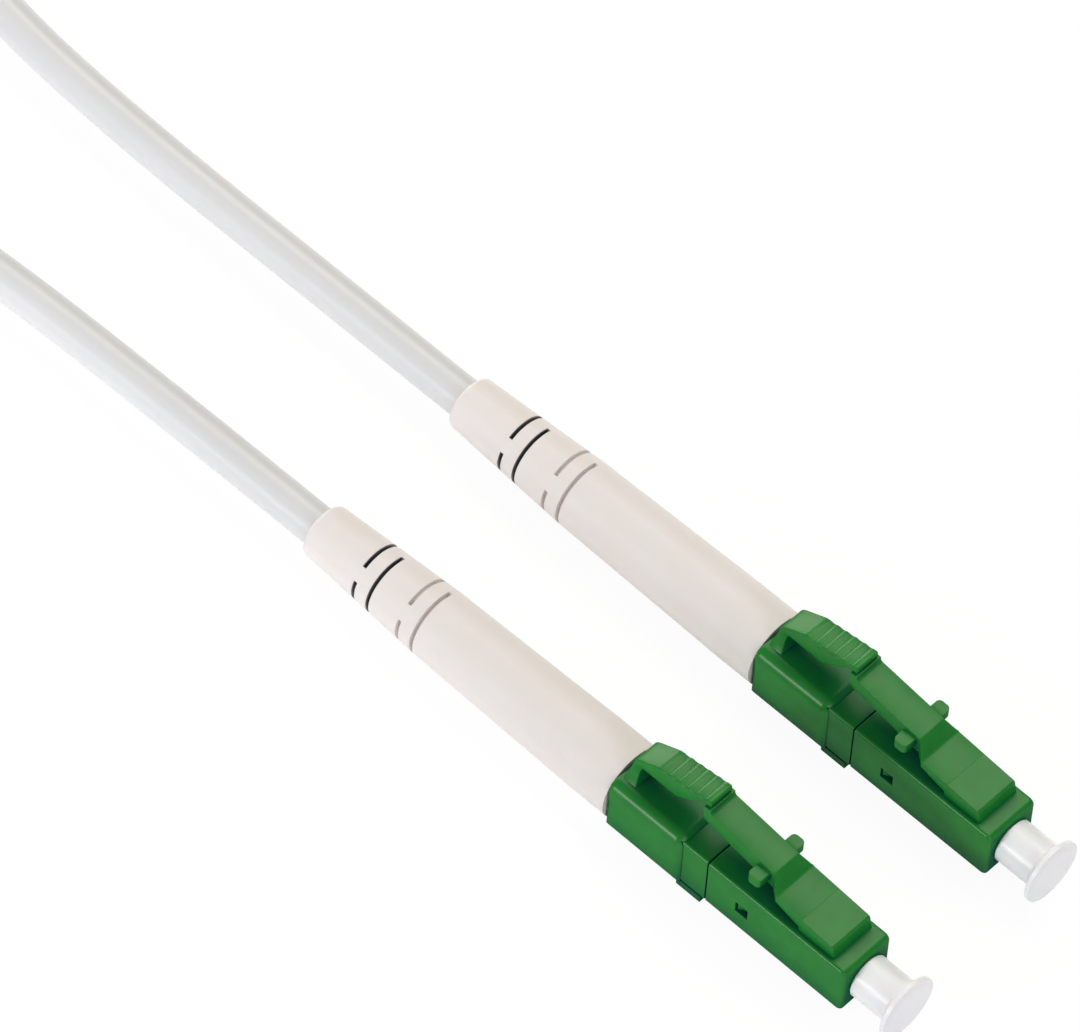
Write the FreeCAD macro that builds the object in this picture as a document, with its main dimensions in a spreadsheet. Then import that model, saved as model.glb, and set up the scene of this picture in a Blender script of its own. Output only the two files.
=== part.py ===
# Simplex fibre optic patch cable with a latching plug at each end.
# Each end is drawn in its own frame: X runs forward along the ferrule, Z up
# through the latch, and the origin is the middle of the plug's front face.
import FreeCAD, Part
import math
import os
import Sketcher
from FreeCAD import Placement, Rotation, Vector

doc = FreeCAD.newDocument("patch_cable")

# The driving dimensions, in millimetres and degrees.
SIZES = {
    # where the two ends lie, side by side
    "end_pitch": 14.76,
    "end_stagger": 0.49,
    # front housing
    "plug_side": 4.5,
    "plug_length": 12.35,
    "edge_round": 0.25,
    "nose_round": 0.5,
    "sleeve_bore": 2.9,
    "sleeve_depth": 5.0,
    "web_thick": 0.6,
    "web_hole": 1.6,
    "neck_bore": 3.4,
    "window_ahead": 3.7,
    "window_long": 1.1,
    "window_high": 1.0,
    # latch arm and the block it grows from
    "block_set_back": 1.35,
    "block_rake": 0.25,
    "block_high": 1.1,
    "block_wide": 3.6,
    "latch_root_back": 4.65,
    "latch_root_top": 1.38,
    "latch_root_gap": 0.32,
    "latch_foot_back": 6.8,
    "latch_foot_top": 1.6,
    "latch_knee_back": 7.6,
    "latch_knee_top": 2.78,
    "latch_under_back": 7.6,
    "latch_under": 1.25,
    "latch_clear": 0.4,
    "latch_end_top": 3.6,
    "latch_end_thick": 1.0,
    "latch_stop_long": 0.6,
    "latch_stop_high": 0.37,
    "latch_tail_wide": 2.4,
    "flexure_gap": 0.02,
    "lug_back": 7.95,
    "lug_long": 1.1,
    "lug_low": 1.78,
    "lug_high": 0.78,
    "lug_span": 4.6,
    # rear body
    "seam_gap": 0.1,
    "body_show": 2.1,
    "neck_long": 3.9,
    "barb_proud": 0.4,
    "spring_bore": 2.5,
    "spring_room": 6.8,
    "tail_bore": 1.7,
    "post_wide": 3.0,
    "post_long": 5.7,
    "post_groove": 0.15,
    # trigger clip
    "clip_long": 6.85,
    "clip_wall": 0.35,
    "clip_roof": 0.4,
    "clip_floor": 0.6,
    "clip_fit": 0.02,
    "clip_slot": 2.2,
    "clip_corner_wide": 0.55,
    "clip_corner_high": 1.1,
    "clip_round": 0.95,
    "clip_nose": 0.85,
    "clip_tail": 0.4,
    "tongue_long": 1.65,
    # trigger arm
    "trigger_wide": 2.1,
    "loop_set_in": 0.35,
    "loop_wall": 0.7,
    "loop_lean": 0.55,
    "loop_shoulder": 2.25,
    "trigger_crest_run": 2.7,
    "trigger_crest": 3.4,
    "trigger_lip_ahead": 0.85,
    "trigger_lip_top": 4.18,
    "trigger_lip_thick": 0.55,
    "trigger_lip_long": 0.85,
    "trigger_lip_rise": 0.75,
    "trigger_belly": 1.8,
    "trigger_belly_slope": 2.15,
    "rib_pitch": 0.8,
    "rib_hollow": 0.65,
    "rib_deep": 0.07,
    # ferrule, its flange and spring
    "ferrule_wide": 1.25,
    "ferrule_reach": 1.9,
    "ferrule_seat": 1.3,
    "ferrule_angle": 8.0,
    "ferrule_bevel": 0.15,
    "flange_wide": 2.3,
    "flange_long": 1.6,
    "tail_wide": 1.4,
    "tail_long": 5.3,
    "tail_hole": 1.0,
    "spring_wide": 2.14,
    "spring_wire": 0.24,
    "spring_turns": 7.0,
    # cable parts inside the boot
    "fibre_wide": 0.9,
    "fibre_entry": 0.5,
    "cord_wide": 3.0,
    "yarn_thick": 0.15,
    "yarn_lead": 0.7,
    "sleeve_wall": 0.3,
    "sleeve_lead": 0.4,
    "sleeve_grip": 5.0,
    "sleeve_step": 0.4,
    # boot
    "boot_long": 29.0,
    "boot_front": 5.7,
    "boot_waist": 5.2,
    "boot_waist_back": 18.2,
    "boot_rear": 4.1,
    "boot_gap": 0.05,
    "boot_round": 0.45,
    "boot_sleeve_fit": 0.05,
    "boot_cord_fit": 0.05,
    "slot_wide": 0.3,
    "slot_first": 5.15,
    "slot_pair": 1.4,
    "slot_step": 4.35,
    "slot_shallow": 0.45,
    "slot_angle": 150.0,
    "slot_turn": 48.0,
    # dust cap
    "cap_wide": 3.36,
    "cap_gap": 0.02,
    "cap_long": 3.45,
    "cap_flange_wide": 4.9,
    "cap_flange_thick": 0.32,
    "cap_flare": 0.45,
    "cap_dome": 0.12,
    "cap_fit": 0.03,
    "cap_bore_deep": 3.0,
    # hank and its ties
    "hank_front": 100.0,
    "hank_run": 24.0,
    "hank_inner": 9.0,
    "hank_lanes": 3.0,
    "hank_layers": 2.0,
    "tie_wide": 4.0,
    "tie_thick": 0.3,
}

dim = doc.addObject("Spreadsheet::Sheet", "dim")
for row, (alias, number) in enumerate(SIZES.items(), start=1):
    dim.set(f"A{row}", alias)
    dim.set(f"B{row}", str(number))
    dim.setAlias(f"B{row}", alias)
doc.recompute()

# Places that follow from those sizes, each measured back from the front face
# or out from the axis.
HALF = "dim.plug_side / 2"
CLIP_FRONT = "(dim.plug_length + dim.body_show)"
BODY_REAR = f"({CLIP_FRONT} + dim.clip_long)"
BOOT_REAR = f"({BODY_REAR} + dim.boot_gap + dim.boot_long)"
CLIP_TOP = f"({HALF} + dim.clip_fit + dim.clip_roof)"
CLIP_FOOT = f"({HALF} + dim.clip_fit + dim.clip_floor)"
CLIP_SIDE = f"({HALF} + dim.clip_fit + dim.clip_wall)"
WEB_FRONT = "dim.sleeve_depth"
WEB_REAR = "(dim.sleeve_depth + dim.web_thick)"
FLANGE_REAR = f"({WEB_REAR} + dim.flange_long)"
FERRULE_BACK = f"({WEB_REAR} + dim.ferrule_seat)"
TAIL_END = f"({FLANGE_REAR} + dim.tail_long)"
NECK_FRONT = "(dim.plug_length - dim.neck_long)"
WINDOW_FRONT = "(dim.plug_length - dim.window_ahead)"
LATCH_END = f"({CLIP_FRONT} - dim.latch_clear)"
LIP_FRONT = f"({CLIP_FRONT} - dim.trigger_lip_ahead)"
SPRING_END = f"({NECK_FRONT} + dim.spring_room)"
POST_END = f"({BODY_REAR} + dim.post_long)"
CORD_START = f"({POST_END} + dim.sleeve_step)"
SLEEVE_FRONT = f"({BODY_REAR} + dim.sleeve_lead)"
SLEEVE_END = f"({CORD_START} + dim.sleeve_grip)"
SLEEVE_BORE = "(dim.post_wide / 2 + dim.yarn_thick)"
CAP_REACH = "(dim.cap_gap + dim.cap_long + dim.cap_flange_thick + dim.cap_dome)"


def size(expression):
    """The present value of an expression in the sheet's sizes."""
    return float(dim.evalExpression(expression))


def plane(body, role):
    """One of a body's own origin planes."""
    return [feature for feature in body.Origin.OriginFeatures if feature.Role == role][0]


def start_body(name):
    """An empty body whose label names its file."""
    body = doc.addObject("PartDesign::Body", name)
    body.Label = name
    return body


def new_sketch(body, name, role, shift="0", turn="0"):
    """A sketch on an origin plane, moved along its normal and turned about its own X."""
    sketch = body.newObject("Sketcher::SketchObject", name)
    sketch.AttachmentSupport = (plane(body, role), [""])
    sketch.MapMode = "FlatFace"
    if shift != "0":
        sketch.setExpression("AttachmentOffset.Base.z", shift)
    if turn != "0":
        sketch.AttachmentOffset = Placement(Vector(), Rotation(Vector(1, 0, 0), 1))
        sketch.setExpression("AttachmentOffset.Rotation.Angle", turn)
    return sketch


def add_outline(sketch, corners):
    """A closed outline of straight edges whose corners are expressions in the sizes."""
    first = sketch.GeometryCount
    points = [Vector(size(across), size(up), 0) for across, up in corners]
    count = len(points)
    for i, point in enumerate(points):
        sketch.addGeometry(Part.LineSegment(point, points[(i + 1) % count]), False)
    for i, (across, up) in enumerate(corners):
        line = first + i
        follower = first + (i + 1) % count
        sketch.addConstraint(Sketcher.Constraint("Coincident", line, 2, follower, 1))
        for kind, expression in (("DistanceX", across), ("DistanceY", up)):
            rule = Sketcher.Constraint(kind, -1, 1, line, 1, size(expression))
            sketch.setExpression(f"Constraints[{sketch.addConstraint(rule)}]", expression)


def add_circle(sketch, across, up, radius):
    """A circle whose centre and radius are expressions in the sizes."""
    centre = Vector(size(across), size(up), 0)
    ring = sketch.addGeometry(Part.Circle(centre, Vector(0, 0, 1), size(radius)), False)
    for rule, expression in (
        (Sketcher.Constraint("DistanceX", -1, 1, ring, 3, size(across)), across),
        (Sketcher.Constraint("DistanceY", -1, 1, ring, 3, size(up)), up),
        (Sketcher.Constraint("Radius", ring, size(radius)), radius),
    ):
        sketch.setExpression(f"Constraints[{sketch.addConstraint(rule)}]", expression)


def outline(body, name, role, corners, shift="0", turn="0"):
    """A sketch that holds one closed outline."""
    sketch = new_sketch(body, name, role, shift, turn)
    add_outline(sketch, corners)
    return sketch


def box_corners(low_x, high_x, low_y, high_y):
    """The corners of an upright rectangle."""
    return [(low_x, low_y), (high_x, low_y), (high_x, high_y), (low_x, high_y)]


def pad(body, sketch, length, both_ways=True, backward=False):
    """Adds a slab, spread evenly about its sketch or grown to one side of it."""
    feature = body.newObject("PartDesign::Pad", sketch.Name + "_pad")
    feature.Profile = sketch
    feature.SideType = "Symmetric" if both_ways else "One side"
    feature.Reversed = backward
    feature.setExpression("Length", length)
    return feature


def pocket(body, sketch, length, both_ways=True, backward=False):
    """Cuts a slab away, spread evenly about its sketch or to one side of it."""
    feature = body.newObject("PartDesign::Pocket", sketch.Name + "_cut")
    feature.Profile = sketch
    feature.SideType = "Symmetric" if both_ways else "One side"
    feature.Reversed = backward
    feature.setExpression("Length", length)
    return feature


def turned(body, name, corners):
    """Adds a form turned about the plug's axis, from its half outline."""
    sketch = outline(body, name, "XZ_Plane", corners)
    feature = body.newObject("PartDesign::Revolution", name + "_turned")
    feature.Profile = sketch
    feature.ReferenceAxis = (sketch, ["H_Axis"])
    feature.Angle = 360
    return feature


def bored(body, name, corners, angle="360", turn="0"):
    """Cuts a form turned about the plug's axis, all round or over a part of the circle."""
    sketch = outline(body, name, "XZ_Plane", corners, turn=turn)
    feature = body.newObject("PartDesign::Groove", name + "_bored")
    feature.Profile = sketch
    feature.ReferenceAxis = (sketch, ["H_Axis"])
    if angle == "360":
        feature.Angle = 360
    else:
        feature.Midplane = True
        feature.setExpression("Angle", angle)
    return feature


def edges_at(shape, wanted):
    """The names of the straight edges that the test picks, given their two ends."""
    names = []
    for number, edge in enumerate(shape.Edges, start=1):
        start = edge.Vertexes[0].Point
        end = edge.Vertexes[-1].Point
        straight = edge.Length > 1e-4 and abs(edge.Length - start.distanceToPoint(end)) < 1e-6
        if straight and wanted(start, end):
            names.append(f"Edge{number}")
    return names


def rounded(body, radius, wanted):
    """Rounds the straight edges that the test picks."""
    doc.recompute()
    base = body.Tip
    feature = body.newObject("PartDesign::Fillet", base.Name + "_round")
    feature.Base = (base, edges_at(base.Shape, wanted))
    feature.setExpression("Radius", radius)
    return feature


def rounded_ring(body, radius, along, reach):
    """Rounds the circular edge at the given X and the given distance from the plug's axis."""
    doc.recompute()
    base = body.Tip
    names = []
    for number, edge in enumerate(base.Shape.Edges, start=1):
        box = edge.BoundBox
        flat = box.XLength < 1e-6 and abs(box.XMin - size(along)) < 1e-4
        if flat and abs(box.ZMax - size(reach)) < 1e-3:
            names.append(f"Edge{number}")
    feature = body.newObject("PartDesign::Fillet", base.Name + "_ring_round")
    feature.Base = (base, names)
    feature.setExpression("Radius", radius)
    return feature


def across_at(places):
    """Picks the edges along Y that pass through the given places in X and Z."""
    spots = [(size(along), size(up)) for along, up in places]

    def wanted(start, end):
        level = abs(start.x - end.x) < 1e-4 and abs(start.z - end.z) < 1e-4
        return level and any(
            abs(start.x - along) < 1e-3 and abs(start.z - up) < 1e-3 for along, up in spots
        )

    return wanted


def long_edges(half_wide, low, high):
    """Picks the edges along X at the corners of a bar, its half width and its two heights given."""
    wide = size(half_wide)
    heights = [size(level) for level in (low, high)]

    def wanted(start, end):
        along = abs(start.y - end.y) < 1e-4 and abs(start.z - end.z) < 1e-4
        corner = abs(abs(start.y) - wide) < 1e-3
        return along and corner and any(abs(start.z - level) < 1e-3 for level in heights)

    return wanted


def end_edges(along, low="-100", sides=True):
    """Picks the edges of an end face at the given X that lie above the given height."""
    place = size(along)
    foot = size(low)

    def wanted(start, end):
        on_face = abs(start.x - place) < 1e-4 and abs(end.x - place) < 1e-4
        level = abs(start.z - end.z) < 1e-4
        return on_face and (sides or level) and min(start.z, end.z) > foot

    return wanted


def front_housing(name):
    """The square plug: sleeve bore in front, a web that stops the flange, neck bore behind."""
    body = start_body(name)
    square = outline(body, name + "_square", "YZ_Plane", box_corners(f"-{HALF}", HALF, f"-{HALF}", HALF))
    pad(body, square, "dim.plug_length", both_ways=False, backward=True)
    rounded(body, "dim.nose_round", end_edges("0", sides=False))
    rounded(body, "dim.edge_round", long_edges(HALF, f"-{HALF}", HALF))
    rounded(body, "0.6 * dim.seam_gap", end_edges("-dim.plug_length"))
    block = [
        ("-dim.block_set_back", f"{HALF} - dim.edge_round"),
        ("-dim.block_set_back", HALF),
        ("-dim.block_set_back - dim.block_rake", f"{HALF} + dim.block_high"),
        ("-dim.latch_root_back", f"{HALF} + dim.latch_root_top"),
        ("-dim.latch_root_back", f"{HALF} - dim.edge_round"),
    ]
    pad(body, outline(body, name + "_block", "XZ_Plane", block), "dim.block_wide")
    rounded(
        body,
        "dim.edge_round",
        across_at([("-dim.block_set_back - dim.block_rake", f"{HALF} + dim.block_high")]),
    )
    bored(
        body,
        name + "_cavity",
        [
            ("0", "0"),
            ("0", "dim.sleeve_bore / 2"),
            (f"-{WEB_FRONT}", "dim.sleeve_bore / 2"),
            (f"-{WEB_FRONT}", "dim.web_hole / 2"),
            (f"-{WEB_REAR}", "dim.web_hole / 2"),
            (f"-{WEB_REAR}", "dim.neck_bore / 2"),
            ("-dim.plug_length", "dim.neck_bore / 2"),
            ("-dim.plug_length", "0"),
        ],
    )
    window = outline(
        body,
        name + "_window",
        "XZ_Plane",
        box_corners(
            f"-{WINDOW_FRONT} - dim.window_long",
            f"-{WINDOW_FRONT}",
            "-dim.window_high / 2",
            "dim.window_high / 2",
        ),
    )
    pocket(body, window, "2 * dim.plug_side")
    return body


def latch_arm(name):
    """The springy arm behind the block: broad root, ramp up to the knee, narrow tail with a raised stop, and two lugs."""
    body = start_body(name)
    root = "-dim.latch_root_back - dim.flexure_gap"
    side = [
        (root, f"{HALF} + dim.latch_root_gap"),
        (root, f"{HALF} + dim.latch_root_top"),
        ("-dim.latch_foot_back", f"{HALF} + dim.latch_foot_top"),
        ("-dim.latch_knee_back", f"{HALF} + dim.latch_knee_top"),
        (f"dim.latch_stop_long - {LATCH_END}", f"{HALF} + dim.latch_end_top"),
        (f"dim.latch_stop_long - {LATCH_END}", f"{HALF} + dim.latch_end_top + dim.latch_stop_high"),
        (f"-{LATCH_END}", f"{HALF} + dim.latch_end_top + dim.latch_stop_high"),
        (f"-{LATCH_END}", f"{HALF} + dim.latch_end_top - dim.latch_end_thick"),
        ("-dim.latch_under_back", f"{HALF} + dim.latch_under"),
    ]
    pad(body, outline(body, name + "_side", "XZ_Plane", side), "dim.block_wide")
    rounded(body, "4 * dim.edge_round", across_at([side[8]]))
    rounded(body, "2 * dim.edge_round", across_at([side[2], side[7]]))
    rounded(body, "dim.edge_round", across_at([side[3], side[4]]))
    beyond = f"{LATCH_END} + 1"
    tail = "dim.latch_tail_wide / 2"
    broad = "dim.block_wide / 2"
    waist = new_sketch(body, name + "_waist", "XY_Plane")
    for sign in ("", "-"):
        add_outline(
            waist,
            [
                ("-dim.latch_foot_back", f"{sign}({broad})"),
                ("-dim.latch_knee_back", f"{sign}({tail})"),
                (f"-({beyond})", f"{sign}({tail})"),
                (f"-({beyond})", f"{sign}({broad} + 1)"),
                ("-dim.latch_foot_back", f"{sign}({broad} + 1)"),
            ],
        )
    pocket(body, waist, "4 * dim.plug_side")
    lug = box_corners(
        "-dim.lug_back - dim.lug_long",
        "-dim.lug_back",
        f"{HALF} + dim.lug_low",
        f"{HALF} + dim.lug_low + dim.lug_high",
    )
    pad(body, outline(body, name + "_lug", "XZ_Plane", lug), "dim.lug_span")
    rounded(body, "1.4 * dim.edge_round", upright_at_lug_ends)
    return body


def upright_at_lug_ends(start, end):
    """Picks the four short upright edges at the lugs' outer ends."""
    upright = abs(start.x - end.x) < 1e-4 and abs(start.y - end.y) < 1e-4
    return upright and abs(abs(start.y) - size("dim.lug_span / 2")) < 1e-3


def rear_body(name):
    """The square rear half: a round neck with two snap barbs in front, the crimp post behind."""
    body = start_body(name)
    square = outline(
        body,
        name + "_square",
        "YZ_Plane",
        box_corners(f"-{HALF}", HALF, f"-{HALF}", HALF),
        shift="-dim.plug_length - dim.seam_gap",
    )
    pad(body, square, f"{BODY_REAR} - dim.plug_length - dim.seam_gap", both_ways=False, backward=True)
    rounded(body, "dim.edge_round", long_edges(HALF, f"-{HALF}", HALF))
    rounded(body, "0.6 * dim.seam_gap", end_edges("-dim.plug_length - dim.seam_gap"))
    groove_pitch = "dim.post_long / 4"
    grooves = []
    for count in (3, 2, 1):
        middle = f"-{BODY_REAR} - {count} * {groove_pitch}"
        grooves.append((f"{middle} - dim.post_groove", "dim.post_wide / 2"))
        grooves.append((middle, "dim.post_wide / 2 - dim.post_groove"))
        grooves.append((f"{middle} + dim.post_groove", "dim.post_wide / 2"))
    turned(
        body,
        name + "_post",
        [(f"-{BODY_REAR} + 1", "0"), (f"-{POST_END}", "0"), (f"-{POST_END}", "dim.post_wide / 2")]
        + grooves
        + [(f"-{BODY_REAR} + 1", "dim.post_wide / 2")],
    )
    turned(
        body,
        name + "_neck",
        [
            (f"-{NECK_FRONT}", "0"),
            (f"-{NECK_FRONT}", "dim.neck_bore / 2"),
            ("-dim.plug_length - 1", "dim.neck_bore / 2"),
            ("-dim.plug_length - 1", "0"),
        ],
    )
    barbs = new_sketch(body, name + "_barbs", "XY_Plane")
    for sign in ("", "-"):
        add_outline(
            barbs,
            [
                (f"-{WINDOW_FRONT} - 0.1 * dim.window_long", f"{sign}(dim.neck_bore / 2 - dim.barb_proud)"),
                (f"-{WINDOW_FRONT} - 0.1 * dim.window_long", f"{sign}(dim.neck_bore / 2)"),
                (f"-{WINDOW_FRONT} - 0.9 * dim.window_long", f"{sign}(dim.neck_bore / 2 + dim.barb_proud)"),
                (f"-{WINDOW_FRONT} - 0.9 * dim.window_long", f"{sign}(dim.neck_bore / 2 - dim.barb_proud)"),
            ],
        )
    pad(body, barbs, "0.8 * dim.window_high")
    bored(
        body,
        name + "_way",
        [
            (f"-{NECK_FRONT}", "0"),
            (f"-{NECK_FRONT}", "dim.spring_bore / 2"),
            (f"-{SPRING_END}", "dim.spring_bore / 2"),
            (f"-{SPRING_END}", "dim.tail_bore / 2"),
            (f"-{POST_END}", "dim.tail_bore / 2"),
            (f"-{POST_END}", "0"),
        ],
    )
    return body


def trigger_clip(name):
    """The collar over the rear body, open below, with a tongue forward under the body."""
    body = start_body(name)
    section = [
        (f"-{CLIP_SIDE}", CLIP_TOP),
        (CLIP_SIDE, CLIP_TOP),
        (CLIP_SIDE, f"-{CLIP_FOOT} + dim.clip_corner_high"),
        (f"{CLIP_SIDE} - dim.clip_corner_wide", f"-{CLIP_FOOT}"),
        (f"-{CLIP_SIDE} + dim.clip_corner_wide", f"-{CLIP_FOOT}"),
        (f"-{CLIP_SIDE}", f"-{CLIP_FOOT} + dim.clip_corner_high"),
    ]
    collar = outline(body, name + "_collar", "YZ_Plane", section, shift=f"-{CLIP_FRONT}")
    pad(body, collar, "dim.clip_long", both_ways=False, backward=True)
    rounded(body, "dim.clip_round", long_edges(CLIP_SIDE, CLIP_TOP, CLIP_TOP))
    above_corners = f"-{CLIP_FOOT} + dim.clip_corner_high - 0.01"
    rounded(body, "dim.clip_nose", end_edges(f"-{CLIP_FRONT}", low=above_corners))
    rounded(body, "dim.clip_tail", end_edges(f"-{BODY_REAR}", low=above_corners))
    tongue = outline(
        body,
        name + "_tongue",
        "YZ_Plane",
        box_corners(f"-{HALF}", HALF, f"-{CLIP_FOOT}", f"-{HALF} - dim.clip_fit"),
        shift=f"-{CLIP_FRONT} - 0.5",
    )
    pad(body, tongue, "dim.tongue_long + 0.5", both_ways=False)
    inside = f"{HALF} + dim.clip_fit"
    hollow = outline(
        body,
        name + "_hollow",
        "YZ_Plane",
        box_corners(f"-({inside})", inside, f"-({inside})", inside),
        shift="-dim.plug_length",
    )
    pocket(body, hollow, "dim.clip_long + dim.body_show + 1", both_ways=False)
    slot = outline(
        body,
        name + "_slot",
        "YZ_Plane",
        box_corners("-dim.clip_slot / 2", "dim.clip_slot / 2", f"-{CLIP_FOOT} - 1", "0"),
        shift=f"-{CLIP_FRONT}",
    )
    pocket(body, slot, "dim.clip_long + 1", both_ways=False)
    return body


def trigger_arm(name):
    """The loop that rises at the clip's rear and reaches forward over the latch's tail."""
    body = start_body(name)
    foot = f"{CLIP_TOP} + dim.flexure_gap"
    rear = f"(dim.loop_set_in - {BODY_REAR})"
    lip_front = f"-{LIP_FRONT}"
    side = [
        (rear, foot),
        (f"{rear} + dim.loop_lean", f"{CLIP_TOP} + dim.loop_shoulder"),
        (f"{rear} + dim.trigger_crest_run", f"{CLIP_TOP} + dim.trigger_crest"),
        (lip_front, f"{CLIP_TOP} + dim.trigger_lip_top"),
        (lip_front, f"{CLIP_TOP} + dim.trigger_lip_top - dim.trigger_lip_thick"),
        (
            f"{lip_front} - dim.trigger_lip_long",
            f"{CLIP_TOP} + dim.trigger_lip_top - dim.trigger_lip_thick - 0.1 * dim.trigger_lip_long",
        ),
        (
            f"{lip_front} - 1.8 * dim.trigger_lip_long",
            f"{CLIP_TOP} + dim.trigger_lip_top - dim.trigger_lip_thick - dim.trigger_lip_rise",
        ),
        (
            f"{lip_front} - dim.trigger_lip_long - dim.trigger_belly_slope",
            f"{CLIP_TOP} + dim.trigger_belly",
        ),
        (f"{rear} + dim.loop_wall + dim.loop_lean", f"{CLIP_TOP} + dim.trigger_belly"),
        (f"{rear} + dim.loop_wall", foot),
    ]
    pad(body, outline(body, name + "_side", "XZ_Plane", side), "dim.trigger_wide")
    rounded(body, "1.4 * dim.loop_wall", across_at([side[1], side[2]]))
    rounded(body, "0.4 * dim.loop_wall", across_at([side[5], side[6], side[7], side[8]]))
    rounded(body, "0.3 * dim.trigger_lip_thick", across_at([side[3]]))
    ribs = new_sketch(body, name + "_ribs", "XZ_Plane")
    start_x, start_z = side[2]
    end_x, end_z = side[3]
    for count in range(5):
        share = f"(({count} + 0.75) * dim.rib_pitch / ({end_x} - ({start_x})))"
        along = f"({start_x}) + {share} * (({end_x}) - ({start_x}))"
        up = f"({start_z}) + {share} * (({end_z}) - ({start_z}))"
        add_circle(ribs, along, f"{up} + dim.rib_hollow - dim.rib_deep", "dim.rib_hollow")
    pocket(body, ribs, "2 * dim.trigger_wide")
    return body


def ferrule(name):
    """The ceramic ferrule, its front edge bevelled and its end face ground at an angle."""
    body = start_body(name)
    radius = "dim.ferrule_wide / 2"
    turned(
        body,
        name + "_stick",
        [
            (f"-{FERRULE_BACK}", "0"),
            (f"-{FERRULE_BACK}", radius),
            ("dim.ferrule_reach - dim.ferrule_bevel", radius),
            ("dim.ferrule_reach", f"{radius} - dim.ferrule_bevel"),
            ("dim.ferrule_reach", "0"),
        ],
    )
    fall = f"2 * ({radius}) * tan(dim.ferrule_angle)"
    grind = [
        ("dim.ferrule_reach", f"-({radius})"),
        ("dim.ferrule_reach + 1", f"-({radius})"),
        ("dim.ferrule_reach + 1", f"{radius}"),
        (f"dim.ferrule_reach - {fall}", f"{radius}"),
    ]
    pocket(body, outline(body, name + "_grind", "XZ_Plane", grind), "2 * dim.ferrule_wide")
    return body


def ferrule_flange(name):
    """The metal flange pressed on the ferrule, with the tail tube that the fibre enters."""
    body = start_body(name)
    turned(
        body,
        name + "_flange",
        [
            (f"-{WEB_REAR} - dim.flexure_gap", "dim.ferrule_wide / 2"),
            (f"-{WEB_REAR} - dim.flexure_gap", "dim.flange_wide / 2 - dim.edge_round"),
            (f"-{WEB_REAR} - dim.flexure_gap - dim.edge_round", "dim.flange_wide / 2"),
            (f"-{FLANGE_REAR}", "dim.flange_wide / 2"),
            (f"-{FLANGE_REAR}", "dim.tail_wide / 2"),
            (f"-{TAIL_END}", "dim.tail_wide / 2"),
            (f"-{TAIL_END}", "dim.tail_hole / 2"),
            (f"-{FERRULE_BACK}", "dim.tail_hole / 2"),
            (f"-{FERRULE_BACK}", "dim.ferrule_wide / 2"),
        ],
    )
    return body


def ferrule_spring(name):
    """The coil spring between the flange and the rear body's inner shoulder."""
    body = start_body(name)
    radius = "dim.spring_wire / 2"
    sketch = new_sketch(body, name + "_wire", "XZ_Plane")
    front = f"-{FLANGE_REAR} - {radius} - dim.flexure_gap"
    middle = f"dim.spring_wide / 2 - {radius}"
    sketch.addGeometry(Part.Circle(Vector(size(front), size(middle), 0), Vector(0, 0, 1), size(radius)), False)
    rules = (
        (Sketcher.Constraint("DistanceX", -1, 1, 0, 3, size(front)), front),
        (Sketcher.Constraint("DistanceY", -1, 1, 0, 3, size(middle)), middle),
        (Sketcher.Constraint("Radius", 0, size(radius)), radius),
    )
    for rule, expression in rules:
        sketch.setExpression(f"Constraints[{sketch.addConstraint(rule)}]", expression)
    coil = body.newObject("PartDesign::AdditiveHelix", name + "_coil")
    coil.Profile = sketch
    coil.ReferenceAxis = (sketch, ["H_Axis"])
    coil.Mode = "height-turns-growth"
    room = f"{SPRING_END} - {FLANGE_REAR} - dim.spring_wire - 2 * dim.flexure_gap"
    coil.Reversed = True
    coil.Growth = 0
    coil.setExpression("Height", room)
    coil.setExpression("Turns", "dim.spring_turns")
    return body


def buffered_fibre(name):
    """The coated fibre from the flange's tail tube to the end of the cord's jacket."""
    body = start_body(name)
    turned(
        body,
        name + "_fibre",
        [
            (f"-{TAIL_END} + dim.fibre_entry", "0"),
            (f"-{TAIL_END} + dim.fibre_entry", "dim.fibre_wide / 2"),
            (f"-{CORD_START}", "dim.fibre_wide / 2"),
            (f"-{CORD_START}", "0"),
        ],
    )
    return body


def strength_yarn(name):
    """The yarn spread round the crimp post, under the sleeve."""
    body = start_body(name)
    turned(
        body,
        name + "_yarn",
        [
            (f"-{BODY_REAR} - dim.yarn_lead", "dim.post_wide / 2"),
            (f"-{BODY_REAR} - dim.yarn_lead", SLEEVE_BORE),
            (f"-{POST_END}", SLEEVE_BORE),
            (f"-{POST_END}", "dim.post_wide / 2"),
        ],
    )
    return body


def crimp_sleeve(name):
    """The metal sleeve: wide over the post and the yarn, narrow where it grips the jacket."""
    body = start_body(name)
    grip = "dim.cord_wide / 2"
    turned(
        body,
        name + "_sleeve",
        [
            (f"-{SLEEVE_FRONT}", SLEEVE_BORE),
            (f"-{SLEEVE_FRONT}", f"{SLEEVE_BORE} + dim.sleeve_wall"),
            (f"-{POST_END}", f"{SLEEVE_BORE} + dim.sleeve_wall"),
            (f"-{CORD_START}", f"{grip} + dim.sleeve_wall"),
            (f"-{SLEEVE_END}", f"{grip} + dim.sleeve_wall"),
            (f"-{SLEEVE_END}", grip),
            (f"-{CORD_START}", grip),
            (f"-{POST_END}", SLEEVE_BORE),
        ],
    )
    return body


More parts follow.
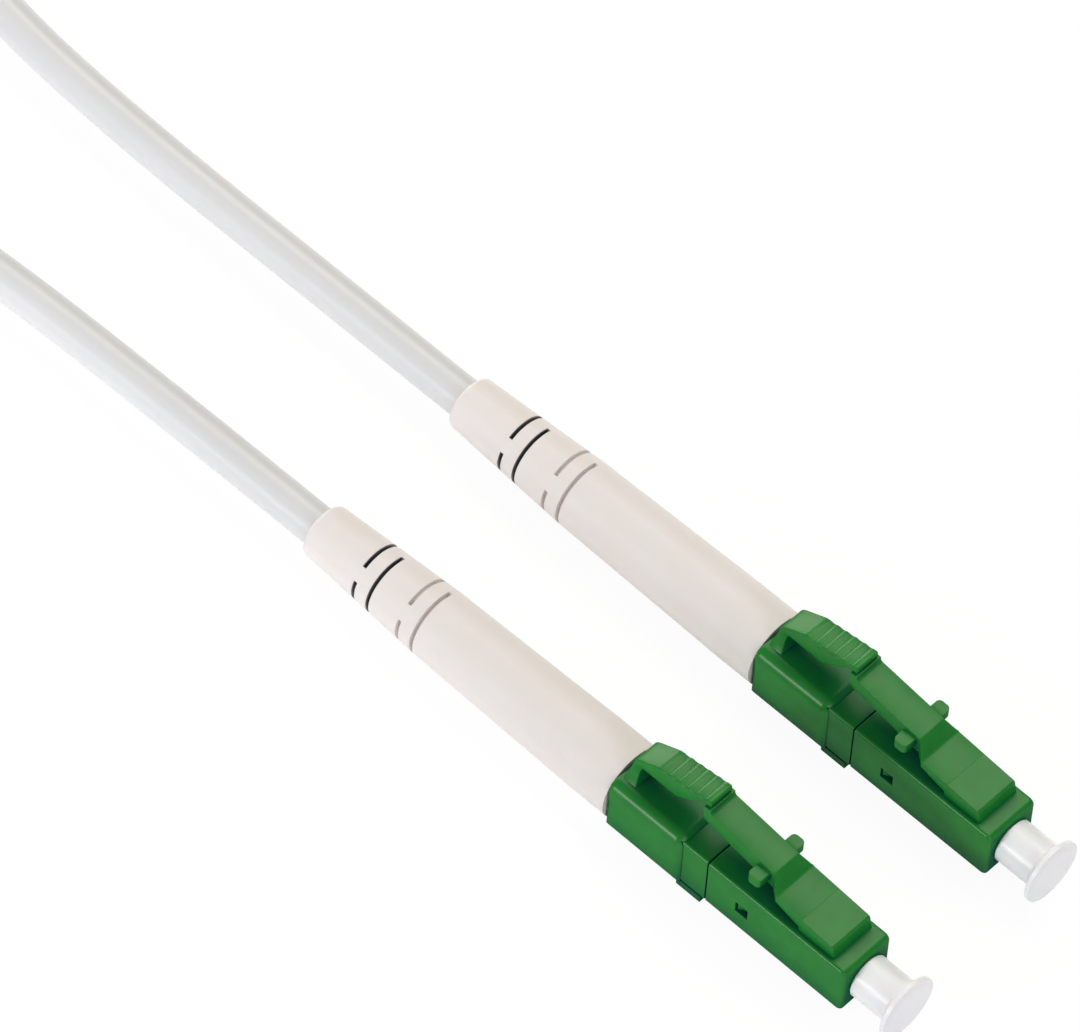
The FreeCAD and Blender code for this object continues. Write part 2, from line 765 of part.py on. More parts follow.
def boot(name):
    """The tapered boot, its rear end loosened by rings of slots so that it bends with the cord."""
    body = start_body(name)
    front = f"{BODY_REAR} + dim.boot_gap"
    waist = f"{front} + dim.boot_waist_back"
    hollow = f"{SLEEVE_BORE} + dim.sleeve_wall + dim.boot_sleeve_fit"
    way = "dim.cord_wide / 2 + dim.boot_cord_fit"
    turned(
        body,
        name + "_skin",
        [
            (f"-({front})", hollow),
            (f"-({front})", "dim.boot_front / 2"),
            (f"-({front}) - 0.2 * dim.boot_waist_back", "dim.boot_front / 2"),
            (f"-({waist})", "dim.boot_waist / 2"),
            (f"-{BOOT_REAR}", "dim.boot_rear / 2"),
            (f"-{BOOT_REAR}", way),
            (f"-{SLEEVE_END} - dim.boot_gap", way),
            (f"-{SLEEVE_END} - dim.boot_gap", hollow),
        ],
    )
    rounded_ring(body, "dim.boot_round", f"-{BOOT_REAR}", "dim.boot_rear / 2")
    for ring in range(4):
        step, second = divmod(ring, 2)
        deep = way if step == 0 else "dim.boot_waist / 2 - dim.slot_shallow"
        start = f"-{BOOT_REAR} + dim.slot_first + {step} * dim.slot_step + {second} * dim.slot_pair"
        corners = box_corners(
            f"{start} - dim.slot_wide / 2", f"{start} + dim.slot_wide / 2", deep, "dim.boot_front"
        )
        for side in (0, 180):
            turn = f"dim.slot_turn - 90 + {90 * second + side}"
            bored(body, f"{name}_slot_{ring}_{side}", corners, angle="dim.slot_angle", turn=turn)
    return body


def dust_cap(name):
    """The soft white cap over the ferrule, with the flange that fingers pull."""
    body = start_body(name)
    flange = "dim.cap_gap + dim.cap_long"
    turned(
        body,
        name + "_cap",
        [
            ("dim.cap_gap", "dim.ferrule_wide / 2 + dim.cap_fit"),
            ("dim.cap_gap", "dim.cap_wide / 2 - 0.1"),
            ("dim.cap_gap + 0.1", "dim.cap_wide / 2"),
            (f"{flange} - dim.cap_flare", "dim.cap_wide / 2"),
            (flange, "dim.cap_flange_wide / 2"),
            (f"{flange} + dim.cap_flange_thick", "dim.cap_flange_wide / 2"),
            (f"{flange} + dim.cap_flange_thick + dim.cap_dome", "0.4 * dim.cap_flange_wide"),
            (f"{flange} + dim.cap_flange_thick + dim.cap_dome", "0"),
            ("dim.cap_bore_deep", "0"),
            ("dim.cap_bore_deep", "dim.ferrule_wide / 2 + dim.cap_fit"),
        ],
    )
    return body


PIECES = (
    front_housing,
    latch_arm,
    rear_body,
    trigger_clip,
    trigger_arm,
    ferrule,
    ferrule_flange,
    ferrule_spring,
    buffered_fibre,
    strength_yarn,
    crimp_sleeve,
    boot,
    dust_cap,
)

# Both ends lie with their clips' feet on the surface, b beside a and a little behind it.
MIDDLE = f"(({BOOT_REAR} + dim.end_stagger - {CAP_REACH}) / 2)"
PLACES = {
    "a": (MIDDLE, "-dim.end_pitch / 2", CLIP_FOOT),
    "b": (f"{MIDDLE} - dim.end_stagger", "dim.end_pitch / 2", CLIP_FOOT),
}
nodes = []
for end, (along, across, up) in PLACES.items():
    for piece in PIECES:
        body = piece(f"{piece.__name__}_{end}")
        body.setExpression("Placement.Base.x", along)
        body.setExpression("Placement.Base.y", across)
        body.setExpression("Placement.Base.z", up)
        nodes.append(body)

# The cord's route, by hand: out of each boot, level at first, then down to the
# surface and out to the hank's outer lanes.
RADIUS = size("dim.cord_wide / 2")
TIE = size("dim.tie_thick")
FRONT = -size("dim.hank_front")
LAYER = 2 * RADIUS
LANES = size("dim.hank_lanes")
OUTER = size("dim.hank_inner") + 2 * RADIUS * LANES
LANE = OUTER - RADIUS
LOW = TIE + RADIUS
HIGH = LOW + LAYER


def cord_start(end):
    """Where the jacket begins, under the crimp sleeve of one end."""
    along, across, up = PLACES[end]
    return Vector(size(f"{along} - {CORD_START}"), size(across), size(up))


START_A = cord_start("a")
START_B = cord_start("b")
ROUTE_A = [
    START_A,
    Vector(-34.5, START_A.y, START_A.z),
    Vector(-64.0, START_A.y - 0.3, 2.25),
    Vector(-79.0, START_A.y - 3.4, LOW),
    Vector(-93.0, 0.1 - LANE + 0.6, LOW),
    Vector(FRONT - 7.0, 0.1 - LANE, LOW + 0.1),
]
ROUTE_B = [
    START_B,
    Vector(-35.0, START_B.y, START_B.z),
    Vector(-60.0, START_B.y + 0.1, 2.45),
    Vector(-76.0, START_B.y + 0.9, 3.0),
    Vector(-86.5, START_B.y + 4.0, HIGH),
    Vector(-94.0, LANE - 1.1, HIGH),
    Vector(FRONT - 5.0, LANE - 0.1, HIGH),
]


def path_of(route):
    """Straight runs joined by tangent arcs, each as large as its two runs allow."""
    edges = []
    reached = route[0]
    for before, corner, after in zip(route, route[1:], route[2:]):
        inward = (corner - before).normalize()
        onward = (after - corner).normalize()
        turn = inward.getAngle(onward)
        trim = 0.45 * min(corner.distanceToPoint(before), corner.distanceToPoint(after))
        radius = trim / math.tan(turn / 2)
        print(f"turn {math.degrees(turn):.1f} degrees, radius {radius:.1f} mm")
        start = corner - inward * trim
        end = corner + onward * trim
        centre_way = (onward - inward).normalize()
        sagitta = radius / math.cos(turn / 2) - radius
        edges.append(Part.LineSegment(reached, start).toShape())
        edges.append(Part.Arc(start, corner + centre_way * sagitta, end).toShape())
        reached = end
    edges.append(Part.LineSegment(reached, route[-1]).toShape())
    return edges


def tube_along(edges):
    """A round solid of the cord's thickness along a path."""
    wire = Part.Wire(edges)
    start = edges[0].firstVertex().Point
    way = (edges[0].lastVertex().Point - start).normalize()
    ring = Part.Wire(Part.Circle(start, way, RADIUS).toShape())
    tube = wire.makePipeShell([ring], True, False)
    expected = math.pi * RADIUS**2 * wire.Length
    print(f"tube {wire.Length:.1f} mm long, volume {tube.Volume / expected:.4f} of section times length")
    return tube


def split_path(route, corner):
    """The path in two, cut between the arcs on the run that ends at the given corner."""
    edges = path_of(route)
    cut = 2 * (corner - 1)
    run = edges[cut]
    start = run.firstVertex().Point
    end = run.lastVertex().Point
    middle = (start + end) / 2
    near = edges[:cut] + [Part.LineSegment(start, middle).toShape()]
    far = [Part.LineSegment(middle, end).toShape()] + edges[cut + 1 :]
    return near, far


def racetrack(half_wide, run, low, high):
    """A solid slab with two straight sides and round ends."""
    front = Vector(FRONT, 0, low)
    rear = Vector(FRONT - run, 0, low)
    side = Vector(0, half_wide, 0)
    tip = Vector(half_wide, 0, 0)
    edges = [
        Part.LineSegment(rear + side, front + side).toShape(),
        Part.Arc(front + side, front + tip, front - side).toShape(),
        Part.LineSegment(front - side, rear - side).toShape(),
        Part.Arc(rear - side, rear - tip, rear + side).toShape(),
    ]
    return Part.Face(Part.Wire(edges)).extrude(Vector(0, 0, high - low))


def add_solid(name, shape):
    """A piece whose solid is worked out here, with its own label."""
    feature = doc.addObject("Part::Feature", name)
    feature.Label = name
    feature.Shape = shape
    nodes.append(feature)
    return feature


near_a, far_a = split_path(ROUTE_A, 3)
near_b, far_b = split_path(ROUTE_B, 3)
add_solid("cord_a", tube_along(near_a))
add_solid("cord_b", tube_along(near_b))

# The hank: the outer shape of turns that lie in lanes and layers, with the cord's
# two ends leading into its outer lanes.
RUN = size("dim.hank_run")
TOP = TIE + LAYER * size("dim.hank_layers")
INNER = OUTER - 2 * RADIUS * LANES
ring = racetrack(OUTER, RUN, TIE, TOP).cut(racetrack(INNER, RUN, TIE - 1, TOP + 1))
ring = ring.makeFillet(0.6 * RADIUS, [e for e in ring.Edges if abs(e.BoundBox.ZLength) < 1e-6])
hank = ring.fuse([tube_along(far_a), tube_along(far_b)])
add_solid("cord_hank", hank.removeSplitter())

# A soft tie round each side of the hank.
for name, sign in (("hank_tie_a", -1), ("hank_tie_b", 1)):
    wide = size("dim.tie_wide")
    low_y = min(sign * INNER, sign * OUTER)
    start_x = FRONT - RUN / 2 - wide / 2
    width = OUTER - INNER
    outer = Part.makeBox(wide, width + 2 * TIE, TOP + TIE, Vector(start_x, low_y - TIE, 0))
    outer = outer.makeFillet(0.7 * RADIUS, [e for e in outer.Edges if abs(e.BoundBox.XLength - wide) < 1e-6])
    hole = Part.makeBox(wide, width, TOP - TIE, Vector(start_x, low_y, TIE))
    hole = hole.makeFillet(0.6 * RADIUS, [e for e in hole.Edges if abs(e.BoundBox.XLength - wide) < 1e-6])
    add_solid(name, outer.cut(hole))

doc.recompute()
faults = [item.Name for item in doc.Objects if {"Invalid", "Error"} & set(item.State)]
for node in nodes:
    if node.Shape.isNull() or not node.Shape.isValid() or len(node.Shape.Solids) != 1:
        faults.append(node.Label)
if faults:
    raise RuntimeError("these failed: " + ", ".join(faults))

os.makedirs("parts", exist_ok=True)
for node in nodes:
    node.Shape.exportStep(f"parts/{node.Label}.step")
print(f"{len(nodes)} pieces written")
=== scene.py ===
# Simplex fibre optic patch cable: two latching plugs in boots, one white cord.
import math

import bpy
import bmesh
from mathutils import Matrix, Vector


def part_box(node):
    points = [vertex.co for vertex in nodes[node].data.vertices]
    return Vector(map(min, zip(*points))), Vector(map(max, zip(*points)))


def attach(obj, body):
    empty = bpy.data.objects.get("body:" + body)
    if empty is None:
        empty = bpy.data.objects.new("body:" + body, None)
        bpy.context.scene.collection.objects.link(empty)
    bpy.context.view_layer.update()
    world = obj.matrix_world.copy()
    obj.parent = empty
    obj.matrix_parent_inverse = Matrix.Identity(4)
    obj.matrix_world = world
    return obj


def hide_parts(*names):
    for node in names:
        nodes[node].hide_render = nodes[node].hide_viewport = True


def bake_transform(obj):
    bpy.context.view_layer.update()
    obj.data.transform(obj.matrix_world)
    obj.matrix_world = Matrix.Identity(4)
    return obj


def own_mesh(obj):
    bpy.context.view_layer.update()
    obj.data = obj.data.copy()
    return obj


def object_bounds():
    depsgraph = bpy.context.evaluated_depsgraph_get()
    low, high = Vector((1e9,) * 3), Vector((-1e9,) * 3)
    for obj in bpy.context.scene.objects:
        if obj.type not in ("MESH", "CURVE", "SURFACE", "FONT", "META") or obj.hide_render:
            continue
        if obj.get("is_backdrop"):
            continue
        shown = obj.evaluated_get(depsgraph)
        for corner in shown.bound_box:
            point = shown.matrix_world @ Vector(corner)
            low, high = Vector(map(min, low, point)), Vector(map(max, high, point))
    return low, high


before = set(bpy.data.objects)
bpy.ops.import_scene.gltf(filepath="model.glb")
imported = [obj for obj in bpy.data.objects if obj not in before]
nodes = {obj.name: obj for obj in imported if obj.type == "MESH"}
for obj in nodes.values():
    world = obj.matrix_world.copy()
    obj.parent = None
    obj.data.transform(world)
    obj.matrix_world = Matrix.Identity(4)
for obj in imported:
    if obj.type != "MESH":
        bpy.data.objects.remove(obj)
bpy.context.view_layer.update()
MM = 0.001

# The camera looks down on the two ends from their front right, with a long
# lens. Its three turns are set one after another, as on a tripod head.
AZIMUTH = math.radians(40.1605)
ELEVATION = math.radians(54.7498)
ROLL = math.radians(4.4299)
CAMERA_PLACE = (0.247187, -0.309401, 0.583028)
FOCAL_LENGTH = 348.26
lens = bpy.data.cameras.new("camera")
lens.sensor_width = 36.0
lens.lens = FOCAL_LENGTH
lens.clip_start = 0.01
lens.clip_end = 10.0
camera = bpy.data.objects.new("camera", lens)
bpy.context.scene.collection.objects.link(camera)
bpy.context.scene.camera = camera
turn = (
    Matrix.Rotation(AZIMUTH, 4, "Z")
    @ Matrix.Rotation(math.pi / 2 - ELEVATION, 4, "X")
    @ Matrix.Rotation(ROLL, 4, "Z")
)
camera.matrix_world = Matrix.Translation(CAMERA_PLACE) @ turn

# The studio is a white table in a pale room. A long warm lamp behind gives the top
# faces their sheen, a low one to the left picks out the triggers, two at the front
# brighten the edges and the near side of the cords, and one at the right fills in.
GLOW = 1.02
GLOW_SHARE = 0.92

world = bpy.data.worlds.new("room")
bpy.context.scene.world = world
world.use_nodes = True
room = world.node_tree.nodes["Background"]
room.inputs["Color"].default_value = (0.94, 0.97, 1.0, 1.0)
room.inputs["Strength"].default_value = 0.27


def lamp(name, place, aim, size, power, color, spread=180.0):
    """A soft flat lamp that points at a place on the table, with a beam of the given angle."""
    light = bpy.data.lights.new(name, "AREA")
    light.shape = "RECTANGLE"
    light.size, light.size_y = size
    light.energy = power
    light.color = color
    light.spread = math.radians(spread)
    holder = bpy.data.objects.new(name, light)
    bpy.context.scene.collection.objects.link(holder)
    facing = (Vector(aim) - Vector(place)).to_track_quat("-Z", "Y").to_matrix().to_4x4()
    holder.matrix_world = Matrix.Translation(place) @ facing


lamp(
    "back lamp",
    place=(-0.18, 0.28, 0.54),
    aim=(-0.18, 0, 0),
    size=(0.80, 0.30),
    power=2.4,
    color=(1.0, 0.95, 0.82),
)
lamp(
    "left lamp",
    place=(-0.56, 0.28, 0.12),
    aim=(0, 0, 0),
    size=(0.26, 0.26),
    power=1.3,
    color=(1.0, 0.96, 0.84),
)
lamp(
    "front left lamp",
    place=(-0.15, -0.55, 0.20),
    aim=(0, 0, 0),
    size=(0.10, 0.10),
    power=1.2,
    color=(1.0, 0.99, 0.98),
)
lamp(
    "right lamp",
    place=(0.50, -0.20, 0.25),
    aim=(0, 0, 0),
    size=(0.30, 0.30),
    power=0.85,
    color=(0.97, 0.98, 1.0),
)
lamp(
    "cord lamp",
    place=(-0.056, -0.30, 0.05),
    aim=(-0.064, 0, 0),
    size=(0.06, 0.06),
    power=0.0065,
    color=(1.0, 1.0, 1.0),
    spread=26.0,
)

table_mesh = bpy.data.meshes.new("table")
work = bmesh.new()
bmesh.ops.create_grid(work, x_segments=1, y_segments=1, size=1.5)
work.to_mesh(table_mesh)
work.free()
table = bpy.data.objects.new("table", table_mesh)
bpy.context.scene.collection.objects.link(table)
table_white = bpy.data.materials.new("table white")
table_white.use_nodes = True
tree = table_white.node_tree
paint = tree.nodes["Principled BSDF"]
paint.inputs["Base Color"].default_value = (1.0, 1.0, 1.0, 1.0)
paint.inputs["Roughness"].default_value = 1.0
paint.inputs["Specular IOR Level"].default_value = 0.0
glow = tree.nodes.new("ShaderNodeEmission")
glow.inputs["Strength"].default_value = GLOW
ray = tree.nodes.new("ShaderNodeLightPath")
mix = tree.nodes.new("ShaderNodeMixShader")
seen = tree.nodes.new("ShaderNodeMath")
seen.operation = "ADD"
seen_glossy = tree.nodes.new("ShaderNodeMath")
seen_glossy.operation = "ADD"
share = tree.nodes.new("ShaderNodeMath")
share.operation = "MULTIPLY"
share.use_clamp = True
share.inputs[1].default_value = GLOW_SHARE
tree.links.new(ray.outputs["Is Camera Ray"], seen.inputs[0])
tree.links.new(ray.outputs["Is Glossy Ray"], seen.inputs[1])
tree.links.new(seen.outputs[0], seen_glossy.inputs[0])
tree.links.new(ray.outputs["Is Transmission Ray"], seen_glossy.inputs[1])
tree.links.new(seen_glossy.outputs[0], share.inputs[0])
tree.links.new(share.outputs[0], mix.inputs["Fac"])
tree.links.new(paint.outputs["BSDF"], mix.inputs[1])
tree.links.new(glow.outputs["Emission"], mix.inputs[2])
tree.links.new(mix.outputs["Shader"], tree.nodes["Material Output"].inputs["Surface"])
table_mesh.materials.append(table_white)
table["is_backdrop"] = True

# The plugs' housings and clips are injection moulded in green polyester: satin,
# faintly mottled by the flow of the melt, every edge softened by the mould.
# Painted shade: how closed in a point is sets how far its colour turns to a shade colour.
PAINTED_SHADE_SHARES = (0.12, 0.85)
PAINTED_SHADE_FADE = 0.5 * MM


def new_group(name, inputs, outputs):
    """An empty shader node group with sockets of the given kinds and first values."""
    group = bpy.data.node_groups.new(name, "ShaderNodeTree")
    for label, kind, value in inputs:
        socket = group.interface.new_socket(name=label, in_out="INPUT", socket_type=kind)
        if value is not None:
            socket.default_value = value
    for label, kind in outputs:
        group.interface.new_socket(name=label, in_out="OUTPUT", socket_type=kind)
    return group, group.nodes.new("NodeGroupInput"), group.nodes.new("NodeGroupOutput")


def noise(tree, vector, scale, detail):
    """A noise texture read at a vector from a socket; the scale is a socket or a number."""
    node = tree.nodes.new("ShaderNodeTexNoise")
    node.inputs["Detail"].default_value = detail
    tree.links.new(vector, node.inputs["Vector"])
    if isinstance(scale, float):
        node.inputs["Scale"].default_value = scale
    else:
        tree.links.new(scale, node.inputs["Scale"])
    return node.outputs["Fac"]


def between(tree, value, low, high, to_low, to_high):
    """Maps a value from one span to another; the second span may come from sockets."""
    node = tree.nodes.new("ShaderNodeMapRange")
    node.inputs["From Min"].default_value = low
    node.inputs["From Max"].default_value = high
    for label, limit in (("To Min", to_low), ("To Max", to_high)):
        if isinstance(limit, float):
            node.inputs[label].default_value = limit
        else:
            tree.links.new(limit, node.inputs[label])
    tree.links.new(value, node.inputs["Value"])
    return node.outputs["Result"]


def combined(tree, operation, first, second):
    """One sum or product of two values, the second a socket or a number."""
    node = tree.nodes.new("ShaderNodeMath")
    node.operation = operation
    tree.links.new(first, node.inputs[0])
    if isinstance(second, float):
        node.inputs[1].default_value = second
    else:
        tree.links.new(second, node.inputs[1])
    return node.outputs[0]


moulded, given, made = new_group(
    "moulded surface",
    [
        ("Vector", "NodeSocketVector", None),
        ("Light Color", "NodeSocketColor", (0.8, 0.8, 0.8, 1.0)),
        ("Dark Color", "NodeSocketColor", (0.7, 0.7, 0.7, 1.0)),
        ("Flow Scale", "NodeSocketFloat", 400.0),
        ("Grain Scale", "NodeSocketFloat", 6000.0),
        ("Roughness", "NodeSocketFloat", 0.4),
        ("Wear", "NodeSocketFloat", 0.1),
    ],
    [("Color", "NodeSocketColor"), ("Roughness", "NodeSocketFloat"), ("Height", "NodeSocketFloat")],
)
flow = noise(moulded, given.outputs["Vector"], given.outputs["Flow Scale"], 4.0)
grain = noise(moulded, given.outputs["Vector"], given.outputs["Grain Scale"], 2.0)
drawn_out = moulded.nodes.new("ShaderNodeMapping")
drawn_out.inputs["Scale"].default_value = (0.12, 1.0, 1.0)
moulded.links.new(given.outputs["Vector"], drawn_out.inputs["Vector"])
rubs = noise(moulded, drawn_out.outputs["Vector"], 2600.0, 3.0)
rubbed = between(moulded, rubs, 0.58, 0.72, 0.0, 1.0)
tint = moulded.nodes.new("ShaderNodeMix")
tint.data_type = "RGBA"
mottled = between(moulded, flow, 0.3, 0.7, 0.0, 1.0)
moulded.links.new(mottled, tint.inputs["Factor"])
moulded.links.new(given.outputs["Light Color"], tint.inputs["A"])
moulded.links.new(given.outputs["Dark Color"], tint.inputs["B"])
moulded.links.new(tint.outputs["Result"], made.inputs["Color"])
worn = combined(moulded, "MULTIPLY", rubbed, given.outputs["Wear"])
uneven = between(moulded, flow, 0.3, 0.7, -0.04, 0.04)
rough = combined(moulded, "ADD", given.outputs["Roughness"], worn)
satin = combined(moulded, "ADD", rough, uneven)
moulded.links.new(satin, made.inputs["Roughness"])
dented = combined(moulded, "MULTIPLY", rubbed, -0.3)
moulded.links.new(combined(moulded, "ADD", grain, dented), made.inputs["Height"])


def surface(
    name,
    group,
    values,
    depth,
    soft_edge=0.0,
    hollow=0.0,
    hollow_color=None,
    painted_shade_end=None,
    **fixed,
):
    """A material whose colour, roughness and bump come from a node group.

    The group is read at the piece's own place. Recesses narrower than the given size
    take a painted shade colour and lose their coat, only behind the given end if there
    is one.
    """
    material = bpy.data.materials.new(name)
    material.use_nodes = True
    tree = material.node_tree
    shader = tree.nodes["Principled BSDF"]
    place = tree.nodes.new("ShaderNodeTexCoord")
    node = tree.nodes.new("ShaderNodeGroup")
    node.node_tree = group
    tree.links.new(place.outputs["Object"], node.inputs["Vector"])
    for label, value in values.items():
        node.inputs[label].default_value = value
    bump = tree.nodes.new("ShaderNodeBump")
    bump.inputs["Strength"].default_value = 1.0
    bump.inputs["Distance"].default_value = depth
    tree.links.new(node.outputs["Height"], bump.inputs["Height"])
    if soft_edge:
        rim = tree.nodes.new("ShaderNodeBevel")
        rim.samples = 6
        rim.inputs["Radius"].default_value = soft_edge
        tree.links.new(rim.outputs["Normal"], bump.inputs["Normal"])
    color = node.outputs["Color"]
    # Painted shade: occlusion mixes the colour towards the shade colour and thins the coat in
    # recesses.
    if hollow:
        occlusion = tree.nodes.new("ShaderNodeAmbientOcclusion")
        occlusion.samples = 8
        occlusion.inputs["Distance"].default_value = hollow
        unshaded_share = between(tree, occlusion.outputs["AO"], *PAINTED_SHADE_SHARES, 0.0, 1.0)
        if painted_shade_end is not None:
            split = tree.nodes.new("ShaderNodeSeparateXYZ")
            tree.links.new(place.outputs["Object"], split.inputs["Vector"])
            unshaded_from = painted_shade_end + PAINTED_SHADE_FADE
            ahead = between(tree, split.outputs["X"], painted_shade_end, unshaded_from, 0.0, 1.0)
            unshaded_share = combined(tree, "MAXIMUM", unshaded_share, ahead)
        painted_shade_mix = tree.nodes.new("ShaderNodeMix")
        painted_shade_mix.data_type = "RGBA"
        painted_shade_mix.inputs["A"].default_value = hollow_color
        tree.links.new(unshaded_share, painted_shade_mix.inputs["Factor"])
        tree.links.new(color, painted_shade_mix.inputs["B"])
        color = painted_shade_mix.outputs["Result"]
        unshaded_coat = combined(tree, "MULTIPLY", unshaded_share, fixed.pop("Coat_Weight", 0.0))
        tree.links.new(unshaded_coat, shader.inputs["Coat Weight"])
    tree.links.new(color, shader.inputs["Base Color"])
    tree.links.new(node.outputs["Roughness"], shader.inputs["Roughness"])
    tree.links.new(bump.outputs["Normal"], shader.inputs["Normal"])
    for label, value in fixed.items():
        shader.inputs[label.replace("_", " ")].default_value = value
    return material


def dress(material, *names):
    """Gives CAD nodes a material on every slot."""
    for name in names:
        for slot in nodes[name].material_slots:
            slot.material = material


GREEN_TONES = {
    "Light Color": (0.012, 0.212, 0.024, 1.0),
    "Dark Color": (0.007, 0.180, 0.022, 1.0),
    "Flow Scale": 700.0,
    "Grain Scale": 5200.0,
    "Roughness": 0.34,
    "Wear": 0.10,
}
GREEN_COAT_AND_PAINTED_SHADE = {
    "depth": 0.008 * MM,
    # painted shade: recesses darken to a deep blue-green and lose their coat
    "hollow": 4.5 * MM,
    "hollow_color": (0.0, 0.040, 0.055, 1.0),
    "Specular_IOR_Level": 0.0,
    "Coat_Weight": 0.14,
    "Coat_IOR": 2.5,
    "Coat_Roughness": 0.3,
}
green = surface("green plastic", moulded, GREEN_TONES, soft_edge=0.10 * MM, **GREEN_COAT_AND_PAINTED_SHADE)
for end in ("a", "b"):
    dress(green, f"front_housing_{end}", f"rear_body_{end}", f"trigger_clip_{end}")

# The latch arm and the trigger loop are moulded in one with the housing and the
# clip, so each bends at its root. Their places are in millimetres from the middle
# of the plug's front face: how far the root sinks in, and where the bend runs.
PLUG_PLACE = {"a": Vector((23.465, -7.38, 2.87)), "b": Vector((22.975, 7.38, 2.87))}
HINGES = {
    "latch_arm": {
        "grow": Vector((0.25, 0, -0.023)),
        "bend": (Vector((-4.66, 0, 3.0)), Vector((-7.4, 0, 3.0))),
    },
    "trigger_arm": {
        "grow": Vector((0, 0, -0.15)),
        "bend": (Vector((-20.1, 0, 2.7)), Vector((-20.1, 0, 4.9))),
    },
}
BEND_STEPS = 9
ARM_EDGE = 0.09 * MM
ARM_SHARP = math.radians(35)
ROOT_DEPTH = 0.01 * MM
ROOT_LAP = 0.006 * MM
ROOT_STRIP = 0.03 * MM
FOOT_FLARE = 0.55 * MM
FOOT_HIGH = 1.5 * MM
FOOT_REACH = 1.0 * MM
FOOT_HALF_WIDE = 1.05 * MM

green_arm = surface("green plastic arm", moulded, GREEN_TONES, **GREEN_COAT_AND_PAINTED_SHADE)


def flexible_arm(name, end, grow, bend):
    """A copy of a CAD arm with rounded edges, sunk at its root and cut where it bends."""
    body = bmesh.new()
    body.from_mesh(nodes[f"{name}_{end}"].data)
    bmesh.ops.remove_doubles(body, verts=body.verts, dist=0.001 * MM)
    flat = math.radians(1.5)
    bmesh.ops.dissolve_limit(body, angle_limit=flat, verts=body.verts, edges=body.edges)
    way = Vector([round(part) for part in grow.normalized()])
    root = max(vertex.co.dot(way) for vertex in body.verts) - ROOT_DEPTH
    sharp = []
    for edge in body.edges:
        at_root = all(vertex.co.dot(way) > root for vertex in edge.verts)
        if edge.calc_face_angle(0) > ARM_SHARP and not at_root:
            sharp.append(edge)
    bmesh.ops.bevel(
        body,
        geom=sharp,
        offset=ARM_EDGE,
        segments=3,
        profile=0.5,
        affect="EDGES",
        clamp_overlap=True,
    )
    foot = [vertex for vertex in body.verts if vertex.co.dot(way) > root]
    middle = sum((vertex.co for vertex in foot), Vector()) / len(foot)
    for vertex in foot:
        outward = vertex.co - middle
        vertex.co += grow * MM + Vector([math.copysign(ROOT_LAP, side) for side in outward])
    start, stop = (PLUG_PLACE[end] + point for point in bend)
    span = stop - start
    cuts = [(start + span * step / BEND_STEPS) * MM for step in range(1, BEND_STEPS)]
    cuts.append(foot[0].co - way * ROOT_STRIP)
    for cut in cuts:
        bmesh.ops.bisect_plane(
            body,
            geom=body.verts[:] + body.edges[:] + body.faces[:],
            plane_co=cut,
            plane_no=span.normalized(),
        )
    if name == "trigger_arm":
        sole = min(vertex.co.z for vertex in body.verts)
        toe = max(vertex.co.x for vertex in foot)
        for vertex in body.verts:
            height = (vertex.co.z - sole) / FOOT_HIGH
            if height < 1 and vertex.co.x < toe + FOOT_REACH:
                spread = FOOT_FLARE * (1 - height) ** 2
                vertex.co.y += spread * (vertex.co.y - middle.y) / FOOT_HALF_WIDE
                if vertex.co.x > middle.x:
                    vertex.co.x += spread
    bmesh.ops.triangulate(body, faces=body.faces)
    mesh = bpy.data.meshes.new(f"{name}_{end}_flexing")
    body.to_mesh(mesh)
    body.free()
    mesh.shade_smooth()
    mesh.set_sharp_from_angle(angle=math.radians(32))
    mesh.materials.append(green_arm)
    piece = bpy.data.objects.new(f"{name}_{end}_flexing", mesh)
    bpy.context.scene.collection.objects.link(piece)
    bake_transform(piece)
    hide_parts(f"{name}_{end}")


for end in ("a", "b"):
    for name, how in HINGES.items():
        flexible_arm(name, end, how["grow"], how["bend"])

# The boots are soft elastomer in ivory, moulded over a core pin: a matt skin
# with a slight bloom, and slots that let the tail bend with the cord. The rear
# pair of slots goes right through to the inside, whose shade is painted near black
# into the colour; the front pair is shallow.
PAINTED_SHADE_SLOTS_LONG = 8.0 * MM
ivory = surface(
    "ivory boot",
    moulded,
    {
        "Light Color": (0.82, 0.775, 0.775, 1.0),
        "Dark Color": (0.81, 0.76, 0.74, 1.0),
        "Flow Scale": 260.0,
        "Grain Scale": 3600.0,
        "Roughness": 0.55,
        "Wear": 0.12,
    },
    depth=0.01 * MM,
    soft_edge=0.10 * MM,
    # painted shade: recesses turn near black, only in the rear pair of slots
    hollow=1.0 * MM,
    hollow_color=(0.03, 0.035, 0.045, 1.0),
    painted_shade_end=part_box("boot_a")[0].x + PAINTED_SHADE_SLOTS_LONG,
    Subsurface_Weight=0.1,
    Subsurface_Scale=0.0004,
)
dress(ivory, "boot_a", "boot_b")

# The dust caps are thin moulded polyethylene, cool white and faintly waxy.
cap_white = surface(
    "cap white",
    moulded,
    {
        "Light Color": (0.95, 0.95, 1.0, 1.0),
        "Dark Color": (0.93, 0.93, 0.99, 1.0),
        "Flow Scale": 380.0,
        "Grain Scale": 4200.0,
        "Roughness": 0.36,
        "Wear": 0.14,
    },
    depth=0.006 * MM,
    soft_edge=0.08 * MM,
    Subsurface_Weight=0.25,
    Subsurface_Scale=0.0008,
)
dress(cap_white, "dust_cap_a", "dust_cap_b")

